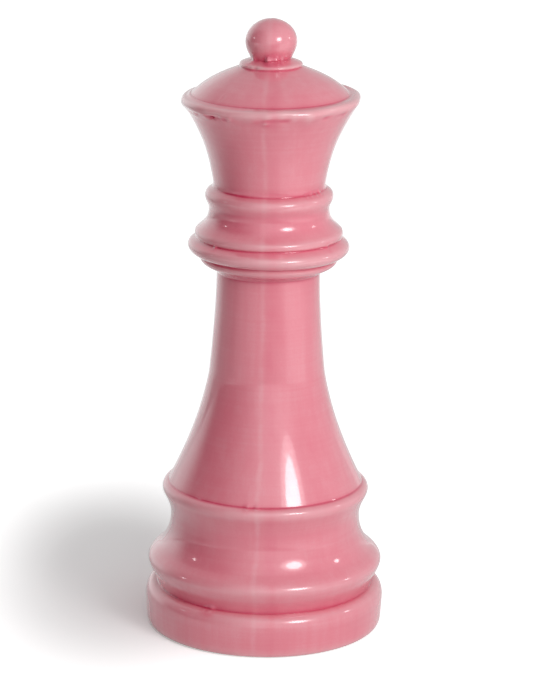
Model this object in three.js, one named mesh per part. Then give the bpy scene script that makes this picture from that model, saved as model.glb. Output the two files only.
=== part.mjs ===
// Giant queen chess piece in glazed ceramic, 400 mm tall.
//
// The piece is hollow. It is a stack of thin cast rings, each with a stepped lap at its top edge that
// centres the ring above it, luted together and glazed over. A lidded crown closes the stack, a finial
// pegs into the lid, and a soft stopper fills the vent hole in the floor between four felt pads.
//
// Millimetres, +Z up. The origin is under the centre of the base, on the surface the pads stand on.
import * as THREE from "three";

// ---- Driving dimensions ----------------------------------------------------------------------------
const STAND_OFF = 0.6; // the pads hold the foot ring this far off the ground
const GAP = 0.3; // clearance between pieces that touch
const LAP_HEIGHT = 3; // how far each stepped lap stands up inside the ring above it
const LAP_SHOULDER = 4; // how far the lap is set in from the outside of its joint

// Each joint of the stack: the outside radius of its crevice, the radius of the hollow there, and its
// height over the foot ring.
const DRUM_JOINT = { outer: 70, inner: 62, z: 27.6 };
const BELL_JOINT = { outer: 62.6, inner: 55, z: 96 };
const STEM_JOINT = { outer: 32.9, inner: 25.5, z: 236.4 };
const CAPITAL_JOINT = { outer: 43.2, inner: 34, z: 247.1 };
const RING_JOINT = { outer: 46, inner: 38.7, z: 259.1 };
const COLLAR_JOINT = { outer: 35.2, inner: 27.5, z: 291.5 };

const FOOT_RADIUS = 74.2;
const FOOT_RING_INNER = 62; // the bare ring of clay that the drum stands on
const RECESS_RADIUS = 58.5; // the hollow underside inside the foot ring
const RECESS_DEPTH = 3;
const FLOOR_THICKNESS = 6;
const DRUM_RADIUS = 77.4;
const BELL_RADIUS = 75.8;
const LIP_RADIUS = 56.7;
const LID_SEAT = { radius: 50.2, inner: 45, z: 347.5 };
const LID_TOP = { radius: 19.3, z: 369.4 };
const DISC_TOP = { radius: 13.3, z: 374.2 };
const BALL = { radius: 15.7, z: 385.2, top: 399.4 };
const PEG_RADIUS = 6;
const PEG_END = 363.5;
const VENT_RADIUS = 9;
const STOPPER_FLANGE = 12.5;
const PAD_RADIUS = 8;
const PAD_CIRCLE = 45; // the pads' centres lie on a circle of this radius
const PAD_COUNT = 4;

const SIDES = 36; // facets round each turned piece
const SMALL_SIDES = 24; // facets round the stopper and the pads
const CURVE_STEPS = 4; // chords along each curve of an outline

// ---- Finishes --------------------------------------------------------------------------------------
const GLAZE = { color: 0xdd8a98, roughness: 0.1, metalness: 0 };
const SILICONE = { color: 0xe6e2dc, roughness: 0.55, metalness: 0 };
const FELT = { color: 0xd9d4cc, roughness: 1, metalness: 0 };

// ---- Helpers ---------------------------------------------------------------------------------------

// Turns an outline of (radius, height) round the Z axis and names the solid it makes.
function turned(name, points, finish, sides) {
  const geometry = new THREE.LatheGeometry(points, sides).rotateX(Math.PI / 2);
  const mesh = new THREE.Mesh(geometry, new THREE.MeshStandardMaterial(finish));
  mesh.name = name;
  return mesh;
}

// Turns a ceramic ring, whose outline closes on itself.
function ceramicRing(name, path) {
  const points = path.getPoints(CURVE_STEPS);
  points[points.length - 1].copy(points[0]);
  return turned(name, points, GLAZE, SIDES);
}

// Starts a ring's outline at its lower joint: the rebate that fits over the lap of the ring below, then
// the outside edge of the joint.
function overLap(joint) {
  const path = new THREE.Path();
  const rebate = joint.outer - LAP_SHOULDER + GAP;
  path.moveTo(joint.inner, joint.z + LAP_HEIGHT + GAP);
  path.lineTo(rebate, joint.z + LAP_HEIGHT + GAP);
  path.lineTo(rebate, joint.z + GAP);
  path.lineTo(joint.outer, joint.z + GAP);
  return path;
}

// Carries a ring's outline over its upper joint: in across the joint face, and up and over the lap.
function addLap(path, joint) {
  path.lineTo(joint.outer, joint.z);
  path.lineTo(joint.outer - LAP_SHOULDER, joint.z);
  path.lineTo(joint.outer - LAP_SHOULDER, joint.z + LAP_HEIGHT);
  path.lineTo(joint.inner, joint.z + LAP_HEIGHT);
}

// ---- The ceramic rings, from the ground up -----------------------------------------------------------

// The drum: foot ring, low wall, rounded shoulder, and a floor with the vent hole in its middle.
function baseDrum() {
  const path = new THREE.Path();
  path.moveTo(FOOT_RING_INNER, 0);
  path.lineTo(FOOT_RADIUS, 0);
  path.bezierCurveTo(75.6, 0.8, 76.2, 2.8, 76.6, 5.8);
  path.lineTo(DRUM_RADIUS, 17.6);
  path.bezierCurveTo(77.5, 22.4, 76, 26.6, 71.6, 27.4);
  addLap(path, DRUM_JOINT);
  path.lineTo(DRUM_JOINT.inner, RECESS_DEPTH + FLOOR_THICKNESS + 4);
  path.lineTo(DRUM_JOINT.inner - 4, RECESS_DEPTH + FLOOR_THICKNESS);
  path.lineTo(VENT_RADIUS, RECESS_DEPTH + FLOOR_THICKNESS);
  path.lineTo(VENT_RADIUS, RECESS_DEPTH);
  path.lineTo(RECESS_RADIUS, RECESS_DEPTH);
  path.lineTo(FOOT_RING_INNER, 0);
  return ceramicRing("base_drum", path);
}

// The bell: an undercut edge, a broad shoulder, a cove, and a bead at the top.
function lowerBell() {
  const path = overLap(DRUM_JOINT);
  path.bezierCurveTo(70.4, 33, 74.6, 36.8, BELL_RADIUS, 42.5);
  path.bezierCurveTo(76.6, 47.6, 69.8, 50.3, 67.2, 54.1);
  path.bezierCurveTo(58.2, 67.8, 58.6, 75, 64.2, 86);
  path.bezierCurveTo(66.8, 90.4, 67.6, 93.4, 63.4, 95.7);
  addLap(path, BELL_JOINT);
  path.lineTo(BELL_JOINT.inner, 91);
  path.lineTo(53.4, 74);
  path.lineTo(56, 62);
  path.lineTo(66.4, 47);
  path.lineTo(67, 40);
  path.lineTo(DRUM_JOINT.inner, DRUM_JOINT.z + LAP_HEIGHT + GAP);
  return ceramicRing("lower_bell", path);
}

// The stem: a long trumpet that narrows towards the collar.
function stem() {
  const path = overLap(BELL_JOINT);
  path.bezierCurveTo(50.4, 120.5, 41.6, 143.4, 37, 170);
  path.bezierCurveTo(34.9, 192, 33, 214, STEM_JOINT.outer, STEM_JOINT.z - 1);
  addLap(path, STEM_JOINT);
  path.lineTo(26, 225);
  path.lineTo(30.4, 170);
  path.lineTo(40.6, 132);
  path.lineTo(BELL_JOINT.inner - 2, 103);
  path.lineTo(BELL_JOINT.inner, BELL_JOINT.z + LAP_HEIGHT + GAP);
  return ceramicRing("stem", path);
}

// The capital: the flare that carries the collar ring on top of the stem.
function stemCapital() {
  const path = overLap(STEM_JOINT);
  path.bezierCurveTo(36.4, 240.2, 43.2, 240.2, 43.8, 244.9);
  addLap(path, CAPITAL_JOINT);
  path.lineTo(STEM_JOINT.inner, STEM_JOINT.z + LAP_HEIGHT + GAP);
  return ceramicRing("stem_capital", path);
}

// The widest ring of the collar, with a sharp rolled edge.
function collarRing() {
  const path = overLap(CAPITAL_JOINT);
  path.bezierCurveTo(48, 248.6, 51.4, 249.6, 51.5, 253);
  path.bezierCurveTo(51.4, 256.4, 48.4, 256.6, RING_JOINT.outer, RING_JOINT.z - 0.2);
  addLap(path, RING_JOINT);
  path.lineTo(RING_JOINT.inner, 256);
  path.lineTo(CAPITAL_JOINT.inner, CAPITAL_JOINT.z + LAP_HEIGHT + GAP);
  return ceramicRing("collar_ring", path);
}

// The collar: an ogee edge, a cove, and a round bead under the crown.
function collar() {
  const path = overLap(RING_JOINT);
  path.bezierCurveTo(47.3, 260.6, 47.6, 262.4, 46.6, 263.9);
  path.bezierCurveTo(42.6, 267.5, 38, 269.2, 38.1, 277.3);
  path.bezierCurveTo(38.2, 281.5, 40.8, 282.7, 40.7, 286.2);
  path.bezierCurveTo(40.5, 289.6, 37.5, 290, COLLAR_JOINT.outer, COLLAR_JOINT.z - 0.2);
  addLap(path, COLLAR_JOINT);
  path.lineTo(COLLAR_JOINT.inner, 290);
  path.lineTo(33, 285);
  path.lineTo(31.4, 277);
  path.lineTo(RING_JOINT.inner, 266);
  path.lineTo(RING_JOINT.inner, RING_JOINT.z + LAP_HEIGHT + GAP);
  return ceramicRing("collar", path);
}

// The crown: a flared cup whose rolled lip holds the lid on a ledge just inside.
function crownCup() {
  const path = overLap(COLLAR_JOINT);
  path.bezierCurveTo(38.6, 313, 42, 324.5, 51.9, 341.4);
  path.bezierCurveTo(53.8, 344.6, LIP_RADIUS + 0.2, 346.2, LIP_RADIUS, 348.4);
  path.bezierCurveTo(LIP_RADIUS - 0.2, 350.4, 55.4, 351.5, 53.6, 351.6);
  path.lineTo(LID_SEAT.radius, 351.6);
  path.lineTo(LID_SEAT.radius, LID_SEAT.z);
  path.lineTo(LID_SEAT.inner, LID_SEAT.z);
  path.bezierCurveTo(36.6, 331, 31, 318, COLLAR_JOINT.inner, COLLAR_JOINT.z + LAP_HEIGHT + GAP);
  return ceramicRing("crown_cup", path);
}

// The lid: a shallow dome with a flat seat and a peg hole at its top.
function crownLid() {
  const rim = LID_SEAT.radius - GAP;
  const hole = PEG_RADIUS + GAP;
  const path = new THREE.Path();
  path.moveTo(LID_SEAT.inner + 0.6, LID_SEAT.z + GAP);
  path.lineTo(rim, LID_SEAT.z + GAP);
  path.lineTo(rim, 352.2);
  path.bezierCurveTo(41.5, 360.6, 32.2, 364.4, LID_TOP.radius, LID_TOP.z);
  path.lineTo(hole, LID_TOP.z);
  path.lineTo(hole, LID_TOP.z - 5);
  path.bezierCurveTo(28, 362.6, 38, 356.4, LID_SEAT.inner + 0.6, LID_SEAT.z + GAP);
  return ceramicRing("crown_lid", path);
}

// The finial's disc, which spreads the ball's neck over the lid.
function finialDisc() {
  const hole = PEG_RADIUS + GAP;
  const path = new THREE.Path();
  path.moveTo(hole, LID_TOP.z + GAP);
  path.lineTo(LID_TOP.radius - 0.2, LID_TOP.z + GAP);
  path.bezierCurveTo(20.2, 370.4, 20.1, 371.6, 18.4, 372.2);
  path.lineTo(DISC_TOP.radius, DISC_TOP.z);
  path.lineTo(hole, DISC_TOP.z);
  path.lineTo(hole, LID_TOP.z + GAP);
  return ceramicRing("finial_disc", path);
}

// The finial's ball, with the peg that ties disc and ball to the lid.
function finialBall() {
  const rise = BALL.top - BALL.z;
  const base = DISC_TOP.z + GAP;
  const path = new THREE.Path();
  path.moveTo(0, PEG_END);
  path.lineTo(PEG_RADIUS, PEG_END);
  path.lineTo(PEG_RADIUS, base);
  path.lineTo(DISC_TOP.radius, base);
  path.bezierCurveTo(13.6, 376.8, BALL.radius, 380.4, BALL.radius, BALL.z);
  path.absellipse(0, BALL.z, BALL.radius, rise, 0, Math.PI / 2, false);
  const points = path.getPoints(CURVE_STEPS);
  points[points.length - 1].x = 0;
  return turned("finial_ball", points, GLAZE, SIDES);
}

// ---- Hardware under the base -------------------------------------------------------------------------

// The stopper: a flanged plug with a finger dimple below and a hollow, tapered nose above.
function ventStopper() {
  const top = RECESS_DEPTH - GAP;
  const shank = VENT_RADIUS - GAP;
  const path = new THREE.Path();
  path.moveTo(0, 1.4);
  path.lineTo(4.5, 1.4);
  path.lineTo(5.5, 0.5);
  path.lineTo(STOPPER_FLANGE - 0.6, 0.5);
  path.lineTo(STOPPER_FLANGE, 1.1);
  path.lineTo(STOPPER_FLANGE, top);
  path.lineTo(shank, top);
  path.lineTo(shank, 10.5);
  path.lineTo(7.2, 13);
  path.lineTo(5, 13);
  path.lineTo(5, 5);
  path.lineTo(0, 5);
  return turned("vent_stopper", path.getPoints(CURVE_STEPS), SILICONE, SMALL_SIDES);
}

// One felt pad, stuck up inside the recess and standing just proud of the foot ring.
function feltPad(index) {
  const path = new THREE.Path();
  path.moveTo(0, -STAND_OFF);
  path.lineTo(PAD_RADIUS, -STAND_OFF);
  path.lineTo(PAD_RADIUS, RECESS_DEPTH - GAP);
  path.lineTo(0, RECESS_DEPTH - GAP);
  const pad = turned(`felt_pad_${index + 1}`, path.getPoints(CURVE_STEPS), FELT, SMALL_SIDES);
  const angle = ((index + 0.5) * 2 * Math.PI) / PAD_COUNT;
  pad.position.set(PAD_CIRCLE * Math.cos(angle), PAD_CIRCLE * Math.sin(angle), 0);
  return pad;
}

// ---- Assembly: everything is drawn from the foot ring, and the group is raised onto its pads ---------
const piece = new THREE.Group();
piece.position.z = STAND_OFF;
piece.add(
  baseDrum(),
  lowerBell(),
  stem(),
  stemCapital(),
  collarRing(),
  collar(),
  crownCup(),
  crownLid(),
  finialDisc(),
  finialBall(),
  ventStopper(),
);
for (let index = 0; index < PAD_COUNT; index++) {
  piece.add(feltPad(index));
}

export default piece;
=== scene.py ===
"""Giant queen chess piece in translucent pink glaze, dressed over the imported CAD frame.

The outline of the glazed skin is drawn once, as curves in millimetres over the foot ring. It is rounded as a
coat of glaze rounds it, cut at the joints into the ceramic sections, and turned. Each point carries the
thickness of its glaze, which pools in crevices and thins on edges, and the glaze material reads that.
"""

import math

import bpy
import numpy as np
from mathutils import Euler, Matrix, Vector


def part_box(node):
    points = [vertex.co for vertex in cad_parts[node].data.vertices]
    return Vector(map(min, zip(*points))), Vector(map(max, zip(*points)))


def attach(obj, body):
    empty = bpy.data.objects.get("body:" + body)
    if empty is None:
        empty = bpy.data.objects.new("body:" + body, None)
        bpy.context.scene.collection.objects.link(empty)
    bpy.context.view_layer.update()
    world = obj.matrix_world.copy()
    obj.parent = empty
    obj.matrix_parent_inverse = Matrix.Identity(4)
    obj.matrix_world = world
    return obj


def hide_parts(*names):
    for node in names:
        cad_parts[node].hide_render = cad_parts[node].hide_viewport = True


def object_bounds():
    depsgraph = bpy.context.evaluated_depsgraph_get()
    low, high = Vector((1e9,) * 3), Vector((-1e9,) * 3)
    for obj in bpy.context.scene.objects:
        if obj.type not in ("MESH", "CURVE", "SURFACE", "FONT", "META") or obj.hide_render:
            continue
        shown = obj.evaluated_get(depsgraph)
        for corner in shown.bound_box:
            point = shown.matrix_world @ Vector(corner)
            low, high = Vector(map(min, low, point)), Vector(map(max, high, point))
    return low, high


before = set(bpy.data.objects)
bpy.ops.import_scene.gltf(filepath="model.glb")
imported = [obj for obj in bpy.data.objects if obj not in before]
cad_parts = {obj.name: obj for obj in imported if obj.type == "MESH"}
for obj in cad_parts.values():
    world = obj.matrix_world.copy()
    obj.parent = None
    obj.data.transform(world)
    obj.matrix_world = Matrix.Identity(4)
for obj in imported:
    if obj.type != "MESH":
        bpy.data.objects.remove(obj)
cad_low, cad_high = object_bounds()

MM = 0.001
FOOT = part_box("base_drum")[0].z  # height of the bare foot ring over the ground
TOP = cad_high.z

# ---- The skin's outline, section by section: (radius, height over the foot ring) in mm -------------
# Two points are a line, and four are a cubic curve.
SKIN = {
    "base_drum": [
        ((69.0, 0.0), (74.2, 0.0)),
        ((74.2, 0.0), (76.0, 0.2), (76.4, 2.6), (76.6, 5.8)),
        ((76.6, 5.8), (77.4, 17.6)),
        ((77.4, 17.6), (77.5, 22.4), (76.0, 26.6), (71.6, 27.5)),
        ((71.6, 27.5), (69.9, 27.7)),
    ],
    "lower_bell": [
        ((69.9, 27.7), (70.2, 33.0), (74.4, 36.6), (75.8, 42.4)),
        ((75.8, 42.4), (76.6, 47.4), (69.8, 50.2), (67.2, 54.0)),
        ((67.2, 54.0), (64.2, 58.0), (61.1, 64.0), (61.1, 73.5)),
        ((61.1, 73.5), (61.2, 78.4), (62.9, 82.4), (64.6, 86.0)),
        ((64.6, 86.0), (65.6, 88.2), (66.7, 89.4), (66.6, 91.6)),
        ((66.6, 91.6), (66.5, 94.2), (64.4, 95.4), (62.5, 96.1)),
    ],
    "stem": [
        ((62.5, 96.1), (50.4, 120.6), (41.6, 143.4), (37.0, 170.0)),
        ((37.0, 170.0), (34.9, 192.0), (33.0, 214.0), (32.9, 236.4)),
    ],
    "stem_capital": [
        ((32.9, 236.4), (33.6, 237.2)),
        ((33.6, 237.2), (36.4, 240.2), (43.4, 240.4), (43.9, 244.8)),
        ((43.9, 244.8), (43.3, 247.2)),
    ],
    "collar_ring": [
        ((43.3, 247.2), (47.0, 247.3), (51.3, 249.4), (51.5, 253.0)),
        ((51.5, 253.0), (51.4, 256.4), (48.4, 256.8), (45.9, 259.2)),
    ],
    "collar": [
        ((45.9, 259.2), (47.2, 259.6), (47.6, 262.0), (46.6, 263.8)),
        ((46.6, 263.8), (42.8, 267.7), (38.4, 269.5), (38.2, 277.2)),
        ((38.2, 277.2), (38.2, 281.4), (40.8, 282.6), (40.7, 286.2)),
        ((40.7, 286.2), (40.5, 289.6), (37.8, 290.4), (35.8, 291.7)),
    ],
    "crown_cup": [
        ((35.8, 291.7), (35.5, 294.3)),
        ((35.5, 294.3), (38.6, 313.0), (42.3, 324.6), (53.0, 342.0)),
        ((53.0, 342.0), (54.5, 344.4), (57.0, 346.8), (56.8, 348.8)),
        ((56.8, 348.8), (56.6, 350.5), (55.6, 351.5), (53.6, 351.6)),
        ((53.6, 351.6), (50.1, 351.6)),
    ],
    "crown_lid": [
        ((50.1, 351.6), (41.6, 360.4), (32.2, 364.2), (19.2, 369.4)),
    ],
    "finial_disc": [
        ((19.2, 369.4), (20.2, 370.2), (20.1, 371.6), (18.4, 372.2)),
        ((18.4, 372.2), (12.5, 374.3)),
    ],
    "finial_ball": [
        ((12.5, 374.3), (13.2, 376.6), (16.05, 379.6), (16.05, 385.2)),
        ((16.05, 385.2), (16.05, 393.0), (8.8, 399.4), (0.0, 399.4)),
    ],
}
# The radius of the hollow at each section's upper joint, and the stepped lap that stands in it.
HOLLOW = {
    "base_drum": 62.0,
    "lower_bell": 55.0,
    "stem": 25.5,
    "stem_capital": 34.0,
    "collar_ring": 38.7,
    "collar": 27.5,
}
LAP_SHOULDER, LAP_HEIGHT = 4.0, 3.0
WALLS = {  # the hollow's outline inside a section, downwards, between its joints
    "lower_bell": [(55.0, 91.0), (53.4, 74.0), (56.0, 62.0), (66.4, 47.0), (67.0, 40.0)],
    "stem": [(26.0, 225.0), (30.4, 170.0), (40.6, 132.0), (53.0, 103.0)],
    "stem_capital": [],
    "collar_ring": [(38.7, 256.0)],
    "collar": [(27.5, 290.0), (33.0, 285.0), (31.4, 277.0), (38.7, 266.0)],
}
VENT_RADIUS = 9.0
FLOOR_UNDER, FLOOR_TOP = 3.0, 9.0  # heights of the drum's floor
FOOT_BARE_TO = 0.35  # height up to which the foot ring is bare clay
SEAT, SEAT_RADIUS = 347.5, 50.1  # the ledge in the cup that the lid sits on
LID_UNDER = 347.6  # the lid's edge, just over its seat
PEG_RADIUS, PEG_HOLE, PEG_END = 6.0, 6.1, 363.5

SAMPLE = 0.1  # mm between the points of the assembled outline before it is thinned
BEND_FLOOR, BEND_PER_POINT = 0.05, 0.16  # how a bend, in radians per mm, sets the points kept per mm
FEWEST_PER_MM, MOST_PER_MM, FEWEST_POINTS = 0.45, 2.8, 8
GLAZE_ROUNDING = 0.45  # mm, how far the coat of glaze softens the clay's corners
GLAZE_COAT, COAT_BLUR = 0.35, 1.0  # mm, how thick it lies on the upright sides, and over what length
SHARP_REACH, SHARP_THINNING = 0.8, 0.75  # mm over which sharp bends count, and how they thin the glaze
WIDE_REACH, WIDE_THINNING, WIDE_IGNORED = 3.0, 1.0, 0.025  # the same for wide bends, past a least bend
THINNEST_GLAZE, DEEPEST_GLAZE = 0.25, 2.4  # against 1 on a plain wall
POOL_REACH = 0.6  # mm, half the width of the line of glaze in a joint
POOLS = {  # extra glaze lying in the joint under each section
    "lower_bell": 1.0,
    "stem": 1.2,
    "stem_capital": 0.5,
    "collar_ring": 0.8,
    "collar": 1.1,
    "crown_cup": 1.2,
    "crown_lid": 1.1,
    "finial_disc": 0.5,
    "finial_ball": 0.5,
}
SEGMENTS = 288  # columns round each turned piece
ON_AXIS = 1e-6  # mm, a radius that counts as none


# ---- Outline ---------------------------------------------------------------------------------------
def along(points):
    """Distance along a polyline at each of its points."""
    return np.r_[0.0, np.cumsum(np.hypot(*np.diff(points, axis=0).T))]


def drawn(curve, count=160):
    """Points along a line of two points or a cubic of four."""
    t = np.linspace(0.0, 1.0, count)[:, None]
    p = [np.array(point, float) for point in curve]
    if len(p) == 2:
        return (1 - t) * p[0] + t * p[1]
    return (1 - t) ** 3 * p[0] + 3 * (1 - t) ** 2 * t * p[1] + 3 * (1 - t) * t**2 * p[2] + t**3 * p[3]


def smoothed(values, sigma):
    """values blurred over sigma mm along the outline, with both ends held."""
    reach = int(4 * sigma / SAMPLE)
    steps = np.arange(-reach, reach + 1) * SAMPLE
    kernel = np.exp(-0.5 * (steps / sigma) ** 2)
    kernel /= kernel.sum()
    before = 2 * values[0] - values[reach:0:-1]
    after = 2 * values[-1] - values[-2 : -reach - 2 : -1]
    return np.convolve(np.r_[before, values, after], kernel, mode="valid")


def assembled():
    """The outline of all sections: its evenly spaced distances, radii and heights, and each one's span."""
    stretches, spans, start = [], {}, 0.0
    for name, curves in SKIN.items():
        points = np.vstack([drawn(curve) for curve in curves])
        stretches.append(points)
        length = along(points)[-1]
        spans[name] = (start, start + length)
        start += length
    raw = np.vstack(stretches)
    distance = along(raw)
    keep = np.r_[True, np.diff(distance) > ON_AXIS]
    even = np.arange(0.0, distance[-1], SAMPLE)
    r = np.interp(even, distance[keep], raw[keep, 0])
    z = np.interp(even, distance[keep], raw[keep, 1])
    return even, r, z, spans


def glaze_thickness(even, bend_sharp, bend_wide, spans):
    """How thick the glaze lies along the outline: thin on edges, thick in crevices and joints."""
    past_least = np.maximum(np.abs(bend_wide) - WIDE_IGNORED, 0.0)
    glaze = 1.0 - SHARP_THINNING * bend_sharp - WIDE_THINNING * np.sign(bend_wide) * past_least
    for name, (start, _) in spans.items():
        glaze = glaze + POOLS.get(name, 0.0) * np.exp(-(((even - start) / POOL_REACH) ** 2))
    return np.clip(glaze, THINNEST_GLAZE, DEEPEST_GLAZE)


def whole_skin():
    """The outline as glazed: distances, radii, heights, glaze and bends along it, and each section's span."""
    even, r, z, spans = assembled()
    heading = np.unwrap(np.arctan2(np.gradient(z), np.gradient(r)))
    bend = np.gradient(heading, SAMPLE)
    bend_sharp = smoothed(bend, SHARP_REACH)
    glaze = glaze_thickness(even, bend_sharp, smoothed(bend, WIDE_REACH), spans)
    coat = GLAZE_COAT * np.sin(smoothed(heading, COAT_BLUR))
    r_glazed, z_glazed = smoothed(r + coat, GLAZE_ROUNDING), smoothed(z, GLAZE_ROUNDING)
    r_glazed[-1] = 0.0
    return even, r_glazed, z_glazed, glaze, np.abs(bend_sharp), spans


def section_skin(name, skin):
    """One section's part of the outline, with points close together only where it turns."""
    even, r, z, glaze, bend, spans = skin
    start, end = spans[name]
    margin = SAMPLE / 10
    inside = (even > start + margin) & (even < end - margin)
    s = np.r_[start, even[inside], min(end, even[-1])]
    per_mm = (np.interp(s, even, bend) + BEND_FLOOR) / BEND_PER_POINT
    density = np.clip(per_mm, FEWEST_PER_MM, MOST_PER_MM)
    total = np.r_[0.0, np.cumsum(0.5 * (density[1:] + density[:-1]) * np.diff(s))]
    count = max(FEWEST_POINTS, int(total[-1]))
    picked = np.interp(np.linspace(0.0, total[-1], count), total, s)
    return np.stack([np.interp(picked, even, v) for v in (r, z, glaze)], -1)


# ---- Handwork: how the clay and the glaze leave the true turned form -------------------------------
# Beads and pits of slip and glaze: azimuth from the front towards +X in degrees, height, reach and
# swell in mm.
LUMPS = [
    (-9.0, 375.2, 1.5, 2.2),
    (1.0, 374.8, 2.0, 1.9),
    (13.0, 375.0, 1.5, 1.8),
    (29.0, 374.8, 1.6, 1.2),
    (-52.0, 374.8, 1.8, 0.9),
    (-30.0, 371.0, 1.6, -0.5),
    (-41.0, 355.8, 1.0, -0.5),
    (40.0, 291.6, 1.0, 0.9),
    (46.0, 291.9, 1.2, 1.0),
    (53.0, 291.6, 1.1, 0.9),
    (60.0, 291.9, 1.3, 0.8),
    (-45.0, 259.2, 1.2, 1.0),
    (52.0, 259.4, 1.3, 0.7),
    (-28.0, 27.9, 1.6, 1.1),
    (-31.5, 27.7, 1.2, 0.7),
    (-10.4, 96.1, 1.3, 1.0),
    (-4.6, 96.1, 1.1, 0.9),
    (-2.0, 346.2, 3.4, 0.6),
    (-3.0, 343.6, 1.6, 0.8),
    (11.0, 346.6, 3.0, -0.4),
    (-36.0, 346.4, 1.5, -0.7),
    (-32.5, 345.6, 1.2, 0.6),
    (-27.0, 345.8, 1.4, 0.7),
    (-47.0, 345.4, 1.3, 0.6),
    (-45.0, 347.0, 4.0, 0.5),
    (25.0, 346.6, 4.0, 0.5),
    (170.0, 291.6, 1.6, 0.8),
    (148.0, 96.1, 1.5, 0.8),
    (-150.0, 27.9, 2.0, 0.9),
    (118.0, 346.0, 4.0, 0.7),
    (-120.0, 347.0, 4.0, -0.6),
]
# Undercuts left below the lip by the trimming knife: azimuths where one starts and ends, its height,
# half its width and its depth in mm.
UNDERCUTS = [
    (-70.0, -24.0, 345.6, 0.8, 1.3),
    (-12.0, 16.0, 345.6, 0.8, 0.7),
    (30.0, 62.0, 345.4, 0.8, 0.5),
    (128.0, 190.0, 345.4, 0.9, 0.9),
]
CUT_RADII, CUT_FADE = (47.0, 50.0), (0.6, 1.0)  # where a cut bites, and the part of its length where it ends
CUT_EVEN, CUT_UNEVEN, CUT_MOST = 0.75, 0.6, 1.3  # how its depth comes and goes, as parts of that depth
CUT_POOL = 1.1  # extra glaze in a cut, per mm of its depth
LUMP_BARING, LUMP_POOL, LUMP_SPREAD = 0.8, 0.5, 3.5  # glaze lost on a lump, gained round it, and how far

# Slow waves over the whole piece: their size in mm, and the height in which they change.
OVAL, OVAL_PITCH = 0.12, 31.0
WOBBLE, WOBBLE_PITCH, WOBBLE_PHASE = 0.10, 17.0, 1.0
WARP = 0.10
# Sections that sit askew: mm raised at the right (+X) side, and the heights where that starts and ends.
COLLAR_TILT, COLLAR_START, COLLAR_END = 0.25, (256.0, 262.0), (286.0, 298.0)
RING_TILT, RING_START, RING_END = -0.60, (236.0, 243.0), (254.0, 260.0)
LID_SLOPE, LID_HEIGHTS, LID_RADII = 0.010, (350.0, 353.0), (52.0, 50.4)  # a slope, and where it starts
# The lip: where it is, how it tilts, drops, shifts and waves in mm, and the ragged line below it.
LIP_HEIGHTS, LIP_RADII = (337.0, 347.0), (50.6, 53.6)
LIP_TILT, LIP_DROP, LIP_SHIFT, LIP_WAVE = 1.1, 0.5, 0.3, 0.35
RAGGED_HEIGHT, RAGGED_HALF, RAGGED_RADII, RAGGED_SIZE = 345.6, 1.8, (48.0, 51.0), 0.40
FOOT_FADE = (0.0, 3.0)  # heights over which the handwork starts, so that the foot ring stays flat


def ease(low, high, x):
    """0 below low, 1 above high, and smooth between."""
    t = np.clip((x - low) / (high - low), 0.0, 1.0)
    return t * t * (3 - 2 * t)


def ripple(angle, seed, lowest, highest):
    """A closed wave round the piece, between about -1 and 1, the same each run."""
    chance = np.random.default_rng(seed)
    orders = np.arange(lowest, highest + 1)
    phases = chance.uniform(0, 2 * math.pi, len(orders))
    sizes = chance.uniform(0.5, 1.0, len(orders)) / np.sqrt(len(orders))
    return sum(a * np.sin(k * angle + p) for a, k, p in zip(sizes, orders, phases))


def round_from(angle, azimuth):
    """How far an angle from +X lies round from an azimuth, in radians either way."""
    centre = math.radians(azimuth - 90.0)
    return np.mod(angle - centre + math.pi, 2 * math.pi) - math.pi


def lumps(angle, r, z):
    """Radial swell in mm and change in glaze thickness from the beads and pits."""
    dr, dg = np.zeros_like(z), np.zeros_like(z)
    for azimuth, height, reach, swell in LUMPS:
        distance = ((round_from(angle, azimuth) * r) ** 2 + (z - height) ** 2) / reach**2
        dr = dr + swell * np.exp(-distance)
        dg = dg + swell * (LUMP_POOL * np.exp(-distance / LUMP_SPREAD) - LUMP_BARING * np.exp(-distance))
    return dr, dg


def undercuts(angle, r, z):
    """The depth in mm that the undercuts take away."""
    uneven = CUT_EVEN + CUT_UNEVEN * ripple(angle, seed=12, lowest=17, highest=43)
    uneven = np.clip(uneven, 0.0, CUT_MOST)
    total = np.zeros_like(z)
    for start, end, height, half, depth in UNDERCUTS:
        middle, width = (start + end) / 2, math.radians(end - start) / 2
        along_cut = (1 - ease(*CUT_FADE, np.abs(round_from(angle, middle)) / width)) * uneven
        total = total + depth * along_cut * np.exp(-(((z - height) / half) ** 2)) * ease(*CUT_RADII, r)
    return total


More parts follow.
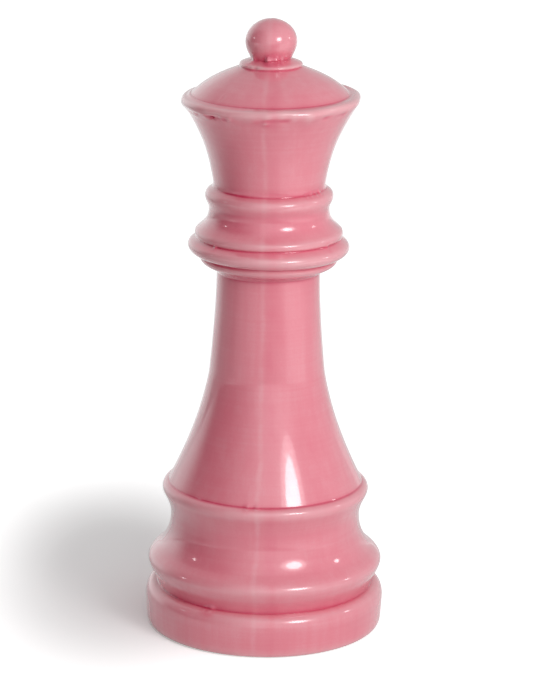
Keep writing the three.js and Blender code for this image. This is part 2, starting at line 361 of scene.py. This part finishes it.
def handmade(angle, r, z):
    """Radial and vertical offsets in mm, and change in glaze, at an angle from +X, radius and height."""
    dr, dg = lumps(angle, r, z)
    cut = undercuts(angle, r, z)
    dr, dg = dr - cut, dg + CUT_POOL * cut
    dr = dr + OVAL * ripple(angle, seed=3, lowest=2, highest=4) * np.sin(z / OVAL_PITCH)
    wobble = np.cos(z / WOBBLE_PITCH + WOBBLE_PHASE)
    dr = dr + WOBBLE * ripple(angle, seed=4, lowest=3, highest=7) * wobble
    dz = WARP * ripple(angle, seed=5, lowest=2, highest=5)
    right = np.cos(angle)
    dz = dz + COLLAR_TILT * right * ease(*COLLAR_START, z) * (1 - ease(*COLLAR_END, z))
    dz = dz + RING_TILT * right * ease(*RING_START, z) * (1 - ease(*RING_END, z))
    on_lip = ease(*LIP_HEIGHTS, z) * ease(*LIP_RADII, r)
    dz = dz + on_lip * (LIP_TILT * right - LIP_DROP + LIP_WAVE * ripple(angle, seed=8, lowest=3, highest=9))
    dr = dr + on_lip * (LIP_SHIFT * right + LIP_WAVE * ripple(angle, seed=9, lowest=4, highest=12))
    below_lip = np.exp(-(((z - RAGGED_HEIGHT) / RAGGED_HALF) ** 2)) * ease(*RAGGED_RADII, r)
    dr = dr + below_lip * RAGGED_SIZE * ripple(angle, seed=10, lowest=7, highest=19)
    on_lid = ease(*LID_HEIGHTS, z) * ease(*LID_RADII, r)
    dz = dz + on_lid * LID_SLOPE * r * right
    fade = ease(*FOOT_FADE, z)
    return dr * fade, dz * fade, dg * fade


def true_form(angle, r, z):
    """No offsets and no change in glaze."""
    return np.zeros((3, len(angle)))


# ---- Meshes ----------------------------------------------------------------------------------------
GLAZED, BARE = 0, 1  # material slots of a ceramic piece


def finished(name, mesh, materials, crease_degrees=40.0):
    """Turns a mesh into a shown object with those materials, smooth except at its creases."""
    for material in materials:
        mesh.materials.append(material)
    mesh.polygons.foreach_set("use_smooth", [True] * len(mesh.polygons))
    mesh.set_sharp_from_angle(angle=math.radians(crease_degrees))
    mesh.update()
    obj = bpy.data.objects.new(name, mesh)
    bpy.context.scene.collection.objects.link(obj)
    return obj


def swept(profile, segments, shape, centre):
    """Vertices and glaze of a profile turned round a vertical axis, and the vertices of each row."""
    angle = np.linspace(0.0, 2 * math.pi, segments, endpoint=False)
    vertices, glaze, rows = [], [], []
    for r, z, thickness, _ in profile:
        if r <= ON_AXIS:
            rows.append([len(vertices)] * segments)
            vertices.append((*centre, z))
            glaze.append(thickness)
            continue
        dr, dz, dg = shape(angle, np.full(segments, r), np.full(segments, z))
        x, y = centre[0] + (r + dr) * np.cos(angle), centre[1] + (r + dr) * np.sin(angle)
        rows.append(list(range(len(vertices), len(vertices) + segments)))
        vertices.extend(zip(x, y, z + dz))
        glaze.extend(thickness + dg)
    return vertices, glaze, rows


def woven(profile, rows):
    """Faces between the neighbouring rows of a closed profile, and the material slot of each."""
    faces, slots = [], []
    for i, row in enumerate(rows):
        after = (i + 1) % len(rows)
        if max(profile[i][0], profile[after][0]) <= ON_AXIS:
            continue
        for j in range(len(row)):
            k = (j + 1) % len(row)
            corners = [row[j], row[k], rows[after][k], rows[after][j]]
            faces.append(list(dict.fromkeys(corners)))
            slots.append(int(profile[i][3]))
    return faces, slots


def turned(name, profile, materials, segments=SEGMENTS, shape=true_form, centre=(0.0, 0.0)):
    """Turns a closed profile of (radius, height, glaze, slot) rows round a vertical axis.

    Rows at radius 0 become one vertex each. shape moves points off the true form.
    """
    profile = np.array(profile, float)
    vertices, glaze, rows = swept(profile, segments, shape, centre)
    faces, slots = woven(profile, rows)
    mesh = bpy.data.meshes.new(name)
    mesh.from_pydata([(x * MM, y * MM, z * MM + FOOT) for x, y, z in vertices], [], faces)
    mesh.attributes.new("glaze", "FLOAT", "POINT").data.foreach_set("value", glaze)
    mesh.polygons.foreach_set("material_index", slots)
    return finished(name, mesh, materials)


def rows_of(points, slot=0, glaze=1.0):
    """Profile rows in one material slot, at one thickness of glaze."""
    return [(r, z, glaze, slot) for r, z in points]


def skin_rows(name, skin):
    """A section's skin as glazed rows, the last of them the edge of its hidden upper joint."""
    rows = [(r, z, glaze, GLAZED) for r, z, glaze in section_skin(name, skin)]
    rows[-1] = (*rows[-1][:3], BARE)
    return rows


def fired(name, rows, inner, materials):
    """A ceramic piece from its skin's rows and the bare outline that closes it on the inside."""
    return turned(name + "_glazed", rows + rows_of(inner, BARE), materials, shape=handmade)


def lap(joint, hollow):
    """The stepped lap over a joint of the skin, from the skin inwards."""
    r, z = joint[:2]
    return [(r - LAP_SHOULDER, z), (r - LAP_SHOULDER, z + LAP_HEIGHT), (hollow, z + LAP_HEIGHT)]


def ring_section(name, below, skin, materials):
    """A hollow section: skin, lap at the top, the hollow's wall and the rebate over the lap below."""
    rows = skin_rows(name, skin)
    inner = lap(rows[-1], HOLLOW[name]) + WALLS[name] + lap(rows[0], HOLLOW[below])[::-1]
    return fired(name, rows, inner, materials)


def base_drum(skin, materials):
    """The drum with its bare foot ring, recessed floor and vent hole."""
    rows = skin_rows("base_drum", skin)
    foot_edge = SKIN["base_drum"][0][-1][0]
    for i, (r, z, _, _) in enumerate(rows):
        if z < FOOT_BARE_TO and r < foot_edge:
            rows[i] = (r, z, THINNEST_GLAZE, BARE)
    inner = lap(rows[-1], HOLLOW["base_drum"])
    inner += [(62.0, 13.0), (60.6, 10.2), (58.0, FLOOR_TOP), (VENT_RADIUS + 1.0, FLOOR_TOP)]
    inner += [(VENT_RADIUS, FLOOR_TOP - 0.8), (VENT_RADIUS, FLOOR_UNDER + 0.6)]
    inner += [(VENT_RADIUS + 0.7, FLOOR_UNDER), (57.6, FLOOR_UNDER), (59.4, 2.6), (61.2, 0.7)]
    inner += [(62.2, 0.1), (63.6, 0.0)]
    return fired("base_drum", rows, inner, materials)


def crown_cup(skin, materials):
    """The flared cup, its uneven lip, and the ledge that the lid sits on."""
    rows = skin_rows("crown_cup", skin)
    inner = [(SEAT_RADIUS, SEAT), (45.0, SEAT), (39.6, 338.0), (34.6, 326.0), (30.2, 308.0)]
    return fired("crown_cup", rows, inner + lap(rows[0], HOLLOW["collar"])[::-1], materials)


def crown_lid(skin, materials):
    """The dome, its edge in the cup and the finial's peg hole."""
    rows = skin_rows("crown_lid", skin)
    inner = [(PEG_HOLE, rows[-1][1]), (PEG_HOLE, 364.6), (16.0, 363.6), (28.0, 360.4), (38.0, 354.8)]
    return fired("crown_lid", rows, inner + [(45.4, LID_UNDER), (rows[0][0], LID_UNDER)], materials)


def finial_disc(skin, materials):
    """The disc between lid and ball."""
    rows = skin_rows("finial_disc", skin)
    return fired("finial_disc", rows, [(PEG_HOLE, rows[-1][1]), (PEG_HOLE, rows[0][1])], materials)


def finial_ball(skin, materials):
    """The ball and its peg."""
    rows = skin_rows("finial_ball", skin)
    rows[-1] = (0.0, *rows[-1][1:3], GLAZED)
    peg = [(0.0, PEG_END), (PEG_RADIUS - 0.6, PEG_END), (PEG_RADIUS, PEG_END + 0.6), (PEG_RADIUS, rows[0][1])]
    return turned("finial_ball_glazed", rows_of(peg, BARE) + rows, materials, shape=handmade)


# ---- Materials ---------------------------------------------------------------------------------------
def direction(azimuth, height):
    """The unit vector at an azimuth from the front towards +X and a height over the horizon, in degrees."""
    a, e = math.radians(azimuth), math.radians(height)
    return Vector((math.sin(a) * math.cos(e), -math.cos(a) * math.cos(e), math.sin(e)))


class Tree:
    """The node tree of a material or a world, with short ways to add and join nodes."""

    def __init__(self, owner, shader="Principled BSDF", coordinates="Object"):
        owner.use_nodes = True
        self.owner = owner
        self.nodes = owner.node_tree.nodes
        self.links = owner.node_tree.links
        self.shader = self.nodes[shader]
        self.place = self.add("ShaderNodeTexCoord").outputs[coordinates]

    def add(self, kind, **settings):
        node = self.nodes.new(kind)
        for key, value in settings.items():
            setattr(node, key, value)
        return node

    def join(self, source, socket):
        if hasattr(source, "is_output"):
            self.links.new(source, socket)
        else:
            socket.default_value = source

    def math(self, operation, *values, clamp=False):
        node = self.add("ShaderNodeMath", operation=operation, use_clamp=clamp)
        for value, socket in zip(values, node.inputs):
            self.join(value, socket)
        return node.outputs[0]

    def stretched(self, scale):
        """The place on the object, scaled per axis, in units per metre."""
        node = self.add("ShaderNodeVectorMath", operation="MULTIPLY")
        self.join(self.place, node.inputs[0])
        node.inputs[1].default_value = scale
        return node.outputs[0]

    def towards(self, azimuth, height=0.0):
        """How far the place lies that way, in the place's own units."""
        node = self.add("ShaderNodeVectorMath", operation="DOT_PRODUCT")
        self.join(self.place, node.inputs[0])
        node.inputs[1].default_value = direction(azimuth, height)
        return node.outputs["Value"]

    def split(self):
        """The place's x, y and z."""
        node = self.add("ShaderNodeSeparateXYZ")
        self.join(self.place, node.inputs[0])
        return node.outputs

    def total(self, *values):
        """The sum of any number of values."""
        result = values[0]
        for value in values[1:]:
            result = self.math("ADD", result, value)
        return result

    def noise(self, scale, detail=3.0, roughness=0.5, vector=None):
        node = self.add("ShaderNodeTexNoise")
        self.join(self.place if vector is None else vector, node.inputs["Vector"])
        node.inputs["Scale"].default_value = scale
        node.inputs["Detail"].default_value = detail
        node.inputs["Roughness"].default_value = roughness
        return node.outputs["Fac"]

    def swing(self, value, size):
        """A 0 to 1 value turned into one that swings size either side of 0."""
        return self.math("MULTIPLY", self.math("SUBTRACT", value, 0.5), 2 * size)

    def band(self, value, low, high, at_low, at_high):
        """value mapped smoothly from low..high to at_low..at_high."""
        node = self.add("ShaderNodeMapRange", interpolation_type="SMOOTHSTEP")
        for item, socket in zip((value, low, high, at_low, at_high), node.inputs):
            self.join(item, socket)
        return node.outputs["Result"]

    def ramp(self, value, stops):
        node = self.add("ShaderNodeValToRGB")
        self.join(value, node.inputs["Fac"])
        while len(node.color_ramp.elements) < len(stops):
            node.color_ramp.elements.new(0.5)
        for element, (position, color) in zip(node.color_ramp.elements, stops):
            element.position = position
            element.color = (*color, 1.0)
        return node.outputs["Color"]

    def bump(self, height, distance_mm, strength=1.0, under=None):
        node = self.add("ShaderNodeBump")
        self.join(height, node.inputs["Height"])
        node.inputs["Distance"].default_value = distance_mm * MM
        node.inputs["Strength"].default_value = strength
        if under is not None:
            self.join(under, node.inputs["Normal"])
        return node.outputs["Normal"]

    def set(self, socket, value):
        """Joins a value or an output to one of the shader's own sockets."""
        self.join(value, self.shader.inputs[socket])


def surface(name):
    """The node tree of a new material."""
    return Tree(bpy.data.materials.new(name))


SEAM_WANDER, SEAM_GAPS = 28.0, 41.0  # waves per metre, up a seam's line, of its place and its strength
PALE_SEAM = {"centre_degrees": -4.6, "width_mm": 3.0, "sway_degrees": 1.6, "offset": 0.0}
DARK_SEAM = {"centre_degrees": 3.4, "width_mm": 7.0, "sway_degrees": 2.2, "offset": 3.0}
SEAM_CHANGE = 0.13  # how much thinner and thicker the glaze lies on the two lines of the mould seam


def seam_line(tree, centre_degrees, width_mm, sway_degrees, offset):
    """1 on a wandering upright line at an azimuth from the front, falling to 0 width_mm to each side.

    Its strength comes and goes with height, and offset gives each line its own wander.
    """
    x, y, z = tree.split()
    azimuth = tree.math("ARCTAN2", x, tree.math("MULTIPLY", y, -1.0))
    line = tree.add("ShaderNodeCombineXYZ")
    tree.join(tree.math("ADD", z, offset), line.inputs["Z"])
    wander = tree.noise(SEAM_WANDER, detail=2.0, vector=line.outputs[0])
    sway = tree.swing(wander, 2 * math.radians(sway_degrees))
    centre = tree.math("ADD", sway, math.radians(centre_degrees))
    radius = tree.math("SQRT", tree.math("ADD", tree.math("MULTIPLY", x, x), tree.math("MULTIPLY", y, y)))
    away = tree.math("MULTIPLY", tree.math("ABSOLUTE", tree.math("SUBTRACT", azimuth, centre)), radius)
    gaps = tree.noise(SEAM_GAPS, detail=2.0, vector=line.outputs[0])
    strength = tree.band(gaps, 0.35, 0.62, 0.35, 1.3)
    return tree.math("MULTIPLY", tree.band(away, 0.0, width_mm * MM, 1.0, 0.0), strength)


GLAZE_STOPS = [  # linear colour against glaze thickness, from bare edge to deep pool
    (0.00, (0.76, 0.50, 0.50)),
    (0.22, (0.74, 0.36, 0.395)),
    (0.42, (0.72, 0.208, 0.262)),
    (0.62, (0.67, 0.118, 0.185)),
    (1.00, (0.58, 0.045, 0.10)),
]
CLAY_STOPS = [(0.3, (0.60, 0.50, 0.42)), (0.55, (0.72, 0.64, 0.56)), (0.75, (0.80, 0.73, 0.66))]
SILICONE_STOPS = [(0.35, (0.62, 0.60, 0.56)), (0.6, (0.74, 0.72, 0.68))]
FELT_STOPS = [(0.35, (0.40, 0.37, 0.33)), (0.6, (0.62, 0.59, 0.53)), (0.8, (0.74, 0.71, 0.65))]
GLAZE_IOR = 1.5


def pink_glaze():
    """Glossy translucent pink glaze over pale clay."""
    tree = surface("pink_glaze")
    thickness = tree.add("ShaderNodeAttribute", attribute_name="glaze").outputs["Fac"]
    drift = tree.swing(tree.noise(24.0, detail=3.0), 0.16)
    runs = tree.swing(tree.noise(1.0, detail=4.0, vector=tree.stretched((170.0, 170.0, 9.0))), 0.13)
    turning = tree.swing(tree.noise(1.0, detail=2.0, vector=tree.stretched((9.0, 9.0, 520.0))), 0.07)
    grain = tree.swing(tree.noise(900.0, detail=2.0), 0.06)
    pale_seam = tree.math("MULTIPLY", seam_line(tree, **PALE_SEAM), -SEAM_CHANGE)
    dark_seam = tree.math("MULTIPLY", seam_line(tree, **DARK_SEAM), SEAM_CHANGE)
    change = tree.total(drift, runs, turning, grain, pale_seam, dark_seam)
    depth = tree.math("MULTIPLY", thickness, tree.math("ADD", change, 1.0))
    depth_of_deepest = tree.math("DIVIDE", depth, DEEPEST_GLAZE, clamp=True)
    tree.set("Base Color", tree.ramp(depth_of_deepest, GLAZE_STOPS))
    tree.set("Roughness", tree.band(tree.noise(60.0, detail=3.0), 0.3, 0.7, 0.16, 0.26))
    fine_skin = tree.bump(tree.noise(150.0, detail=2.0), 0.10)
    tree.set("Normal", tree.bump(turning, 0.12, strength=0.5, under=fine_skin))
    tree.set("IOR", GLAZE_IOR)
    tree.set("Coat Weight", 1.0)
    tree.set("Coat Roughness", 0.055)
    tree.set("Coat IOR", GLAZE_IOR)
    return tree.owner


def bare_clay():
    """Fired, unglazed clay of the foot ring and the hollow: buff, matt and slightly gritty."""
    tree = surface("bare_clay")
    grit = tree.swing(tree.noise(1400.0, detail=2.0), 0.18)
    tone = tree.math("ADD", tree.noise(40.0, detail=4.0), grit)
    tree.set("Base Color", tree.ramp(tone, CLAY_STOPS))
    tree.set("Roughness", tree.band(tree.noise(300.0, detail=3.0), 0.3, 0.7, 0.75, 0.95))
    tree.set("Normal", tree.bump(tree.noise(1100.0, detail=3.0), 0.2))
    return tree.owner


def silicone():
    """Soft, slightly milky stopper rubber with dust on it."""
    tree = surface("silicone")
    tree.set("Base Color", tree.ramp(tree.noise(220.0, detail=4.0), SILICONE_STOPS))
    tree.set("Roughness", tree.band(tree.noise(400.0, detail=3.0), 0.3, 0.7, 0.42, 0.62))
    tree.set("Normal", tree.bump(tree.noise(700.0, detail=2.0), 0.08))
    tree.set("Subsurface Weight", 0.2)
    tree.set("Subsurface Radius", (0.003, 0.003, 0.003))
    tree.set("Subsurface Scale", 1.0)
    return tree.owner


def felt():
    """Pressed wool felt: mixed fibres, no gloss and a soft sheen."""
    tree = surface("felt")
    one_way, other_way = (900.0, 2600.0, 1500.0), (2600.0, 900.0, 1500.0)
    fibres = tree.noise(1.0, detail=4.0, roughness=0.7, vector=tree.stretched(one_way))
    crossing = tree.noise(1.0, detail=4.0, roughness=0.7, vector=tree.stretched(other_way))
    mixed = tree.math("MAXIMUM", fibres, crossing)
    tree.set("Base Color", tree.ramp(mixed, FELT_STOPS))
    tree.set("Normal", tree.bump(mixed, 0.5))
    tree.set("Roughness", 1.0)
    tree.set("Sheen Weight", 0.4)
    return tree.owner


# ---- Hardware under the base -------------------------------------------------------------------------
def vent_stopper(material):
    """The flanged stopper, with a finger dimple below and a hollow, tapered nose above."""
    dimple = [(0.0, 1.9), (3.4, 1.8), (4.4, 1.4), (5.2, 0.7), (6.0, 0.5)]
    flange = [(11.6, 0.5), (12.3, 0.8), (12.5, 1.4), (12.4, 2.2), (12.0, 2.65), (9.2, 2.7)]
    shank = [(8.75, 3.1), (8.7, 6.4), (8.7, 9.8)]
    nose = [(8.4, 10.8), (7.5, 12.6), (7.0, 13.0), (5.4, 13.0)]
    hollow = [(5.0, 12.6), (5.0, 5.6), (4.4, 5.0), (0.0, 5.0)]
    outline = dimple + flange + shank + nose + hollow
    return turned("vent_stopper_rubber", rows_of(outline), [material], segments=96)


def felt_pad(node, material):
    """One pad: a disc with a worn, rounded lower edge."""
    low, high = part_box(node)
    radius = (high.x - low.x) / 2 / MM
    bottom, top = (low.z - FOOT) / MM, (high.z - FOOT) / MM
    centre = ((low.x + high.x) / 2 / MM, (low.y + high.y) / 2 / MM)
    outline = [(0.0, bottom), (radius * 0.55, bottom), (radius - 0.9, bottom), (radius - 0.25, bottom + 0.3)]
    outline += [(radius, bottom + 0.9), (radius, top - 0.4), (radius - 0.3, top), (0.0, top)]
    return turned(node + "_felt", rows_of(outline), [material], segments=64, centre=centre)


# ---- Stage, lights and camera ------------------------------------------------------------------------
FLOOR_SIZE = 12.0  # metres along each side
PAPER_TONES = [(0.0, (0.86, 0.86, 0.86)), (1.0, (0.9, 0.9, 0.9))]
PAINTED_SHADOW_CENTRE, PAINTED_SHADOW_REACH = (-0.10, 0.09), (0.080, 0.175)  # metres, the middle and reach of the painted shadow, where the paper is left out of the painted white glow
PAINTED_SHADOW_INNER, PAINTED_SHADOW_OUTER = 0.40, 1.55  # parts of that reach where the painted white glow starts, and where it is full
GLOW_IN_PAINTED_SHADOW, PAINTED_WHITE_GLOW = 0.05, 0.55  # the painted white glow that the view shows on the paper, in the painted shadow and away from it
PAPER_GLOW = 0.05  # the light that the paper gives the piece of itself, all round
FRONT_GLOW = 0.50  # and how much more painted glow it gives in front, where the studio washes it white
FRONT_AZIMUTH, FRONT_START, FRONT_END = 6.0, 0.05, 0.55  # degrees, and metres that way
BACK_GLOW = 0.34  # and behind on the left
BACK_AZIMUTH, BACK_START, BACK_END = -145.0, 0.15, 0.70
PAPER_BOUNCE = 0.82  # how much of the studio's light it throws back at the piece
PAINTED_SHADE_AZIMUTH = -44.0  # degrees from the front, the side where the studio is dark, painted as shade on the paper's bounce
PAINTED_SHADE_START, PAINTED_SHADE_END, BOUNCE_IN_PAINTED_SHADE = 0.05, 0.45, 0.06  # metres that way over which the painted shade comes in, and the bounce at its far end


def painted_white_glow_seen(tree):
    """How much painted white glow the camera sees on the paper: little in the painted shadow behind and left
    of the piece.
    """
    away = []
    for place, centre, reach in zip(tree.split(), PAINTED_SHADOW_CENTRE, PAINTED_SHADOW_REACH):
        scaled = tree.math("DIVIDE", tree.math("SUBTRACT", place, centre), reach)
        away.append(tree.math("MULTIPLY", scaled, scaled))
    distance = tree.math("SQRT", tree.total(*away))
    return tree.band(distance, PAINTED_SHADOW_INNER, PAINTED_SHADOW_OUTER, GLOW_IN_PAINTED_SHADOW, PAINTED_WHITE_GLOW)


def paper_given(tree):
    """How much light the paper gives the piece of itself: more in front, and behind on the left."""
    in_front = tree.band(
        tree.towards(FRONT_AZIMUTH), FRONT_START, FRONT_END, PAPER_GLOW, PAPER_GLOW + FRONT_GLOW
    )
    behind = tree.band(tree.towards(BACK_AZIMUTH), BACK_START, BACK_END, 0.0, BACK_GLOW)
    return tree.math("ADD", in_front, behind)


def paper():
    """Pale paper: to the camera a painted white glow washes it white round a painted shadow; to the piece it
    gives a painted glow, and bounces less light with painted shade on the left front.
    """
    tree = surface("paper")
    grain = tree.ramp(tree.noise(3.0, detail=2.0), PAPER_TONES)
    seen = tree.add("ShaderNodeLightPath").outputs["Is Camera Ray"]
    unseen = tree.math("SUBTRACT", 1.0, seen)
    tone = tree.add("ShaderNodeMix", data_type="RGBA")
    # painted shade: the paper's bounce darkens towards the dark left front of the studio
    bounce = tree.band(tree.towards(PAINTED_SHADE_AZIMUTH), PAINTED_SHADE_START, PAINTED_SHADE_END, PAPER_BOUNCE, BOUNCE_IN_PAINTED_SHADE)
    for socket, value in (("Factor", seen), ("A", bounce), ("B", grain)):
        tree.join(value, tone.inputs[socket])
    tree.set("Base Color", tone.outputs["Result"])
    tree.set("Roughness", 0.9)
    tree.set("Specular IOR Level", 0.1)
    # painted white glow and painted shadow, seen only by the camera
    painted_glow_to_camera = tree.math("MULTIPLY", painted_white_glow_seen(tree), seen)
    # painted glow that lights the piece from the paper, though the paper is no lamp
    to_piece = tree.math("MULTIPLY", paper_given(tree), unseen)
    tree.set("Emission Strength", tree.math("MAXIMUM", painted_glow_to_camera, to_piece))
    tree.set("Emission Color", (1.0, 1.0, 1.0, 1.0))
    return tree.owner


def paper_floor():
    """The floor, a plain square of paper."""
    reach = FLOOR_SIZE / 2
    mesh = bpy.data.meshes.new("floor")
    corners = [(-reach, -reach, 0.0), (reach, -reach, 0.0), (reach, reach, 0.0), (-reach, reach, 0.0)]
    mesh.from_pydata(corners, [], [(0, 1, 2, 3)])
    finished("floor", mesh, [paper()])


# Lobes of the studio: azimuth from the front and height in degrees, the cosines between which the lobe
# rises to its middle, and how much brighter or darker it makes the surroundings there.
STUDIO_LEVEL = 0.69
STUDIO_LOBES = [
    (-64.0, 14.0, 0.50, 0.90, -0.80),
    (0.0, 20.0, 0.46, 1.0, 0.66),
    (-138.0, 4.0, 0.74, 1.0, 0.56),
    (180.0, 60.0, 0.35, 1.0, -0.12),
]


def studio_world():
    """Pale surroundings: brighter in front and behind on the left, and dark at the left front."""
    world = bpy.data.worlds.new("studio")
    bpy.context.scene.world = world
    tree = Tree(world, "Background", "Generated")
    lobes = [
        tree.band(tree.towards(azimuth, height), outer, inner, 0.0, change)
        for azimuth, height, outer, inner, change in STUDIO_LOBES
    ]
    tree.set("Strength", tree.total(STUDIO_LEVEL, *lobes))
    tree.set("Color", (1.0, 1.0, 1.0, 1.0))


LAMPS = {  # azimuth from the front towards +X and height in degrees, distance and width in m, power in W
    "key": (36.0, 28.0, 1.7, 0.52, 5.0),
    "key_halo": (36.0, 28.0, 1.75, 0.86, 3.2),
    "side_left": (-88.0, 22.0, 1.8, 0.14, 0.36),
    "side_right": (92.0, 21.0, 1.8, 0.18, 0.70),
}


def lamps():
    """Soft round lights aimed at the middle of the piece: a key with a halo, and a small one at each side."""
    aim = Vector((0.0, 0.0, TOP / 2))
    for name, (azimuth, height, distance, width, power) in LAMPS.items():
        data = bpy.data.lights.new(name, "AREA")
        data.shape = "DISK"
        data.size = width
        data.energy = power
        away = direction(azimuth, height)
        obj = bpy.data.objects.new(name, data)
        obj.location = aim + away * distance
        obj.rotation_euler = away.to_track_quat("Z", "Y").to_euler()
        bpy.context.scene.collection.objects.link(obj)


CAMERA_SIDE = -0.0005  # metres to the right of the axis
CAMERA_AWAY = 2.0902  # metres from the axis, level
CAMERA_HEIGHT = 0.7783  # metres over the ground
CAMERA_DOWN = 15.732  # degrees under the horizon
CAMERA_ROLL = 0.777  # degrees, which leans the piece to the right
CAMERA_LENS = 177.77  # mm, on the default 36 mm sensor


def camera():
    """The photograph's view: slightly above, from far away with a long lens."""
    data = bpy.data.cameras.new("camera")
    data.lens = CAMERA_LENS
    data.clip_end = 50.0
    obj = bpy.data.objects.new("camera", data)
    obj.location = (CAMERA_SIDE, -CAMERA_AWAY, CAMERA_HEIGHT)
    down = Euler((math.radians(90.0 - CAMERA_DOWN), 0.0, 0.0)).to_matrix()
    obj.rotation_euler = (down @ Matrix.Rotation(math.radians(CAMERA_ROLL), 3, "Z")).to_euler()
    bpy.context.scene.collection.objects.link(obj)
    bpy.context.scene.camera = obj


# ---- Assembly ----------------------------------------------------------------------------------------
def dress(piece, body, node):
    """Puts the piece on its body, and hides the CAD node that it stands for."""
    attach(piece, body)
    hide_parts(node)


camera()
studio_world()
lamps()
paper_floor()
bpy.context.scene.view_settings.view_transform = "Standard"

skin = whole_skin()
ceramic = [pink_glaze(), bare_clay()]
dress(base_drum(skin, ceramic), "piece", "base_drum")
stack = list(SKIN)
for below, name in zip(stack, stack[1:6]):
    dress(ring_section(name, below, skin, ceramic), "piece", name)
dress(crown_cup(skin, ceramic), "piece", "crown_cup")
dress(crown_lid(skin, ceramic), "piece", "crown_lid")
dress(finial_disc(skin, ceramic), "piece", "finial_disc")
dress(finial_ball(skin, ceramic), "piece", "finial_ball")
dress(vent_stopper(silicone()), "stopper", "vent_stopper")
wool = felt()
for node in sorted(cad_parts):
    if node.startswith("felt_pad"):
        dress(felt_pad(node, wool), "piece", node)
